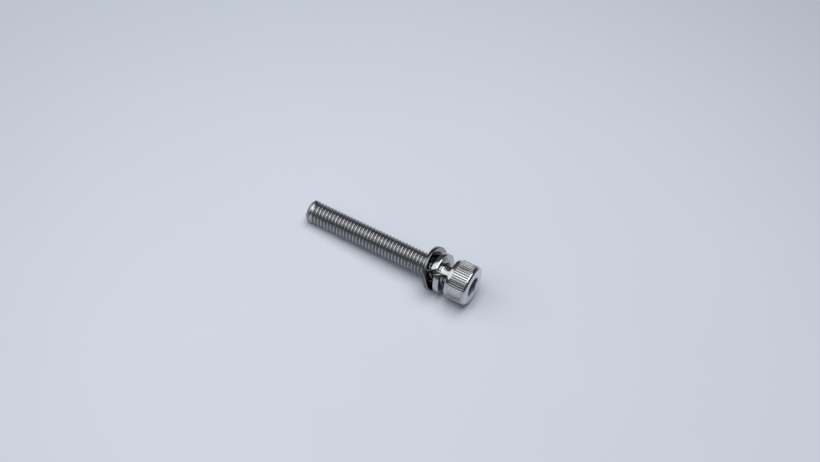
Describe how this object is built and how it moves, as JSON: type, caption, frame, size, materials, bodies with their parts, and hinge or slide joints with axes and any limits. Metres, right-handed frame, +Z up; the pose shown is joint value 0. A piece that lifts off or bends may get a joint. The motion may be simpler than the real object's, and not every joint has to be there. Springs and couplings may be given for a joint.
{
  "type": "hex socket cap screw",
  "caption": "Steel socket head cap screw with a knurled head, a long thread and a flat washer and a split spring washer held captive on a slim neck.",
  "frame": {"origin": "on the floor, under the middle of the screw's length", "axes": "+X runs from the tip to the head along the length of the screw as it lies at rest, +Z is up; the screw's own axis lies in the XZ plane and rises 4.07 degrees toward the head"},
  "size_m": [0.0404, 0.0096, 0.0095],
  "materials": {
    "screw_steel": "satin",
    "spring_steel": "satin",
    "washer_steel": "polished"
  },
  "bodies": {
    "screw": {"screw": "screw_steel"},
    "washers": {"spring_washer": "spring_steel", "flat_washer": "washer_steel"}
  },
  "joints": [
    {"name": "washer_slide", "type": "slide", "parent": "screw", "child": "washers", "axis": [0.9975, 0, 0.0711], "range_m": [0, 0.00091]}
  ]
}
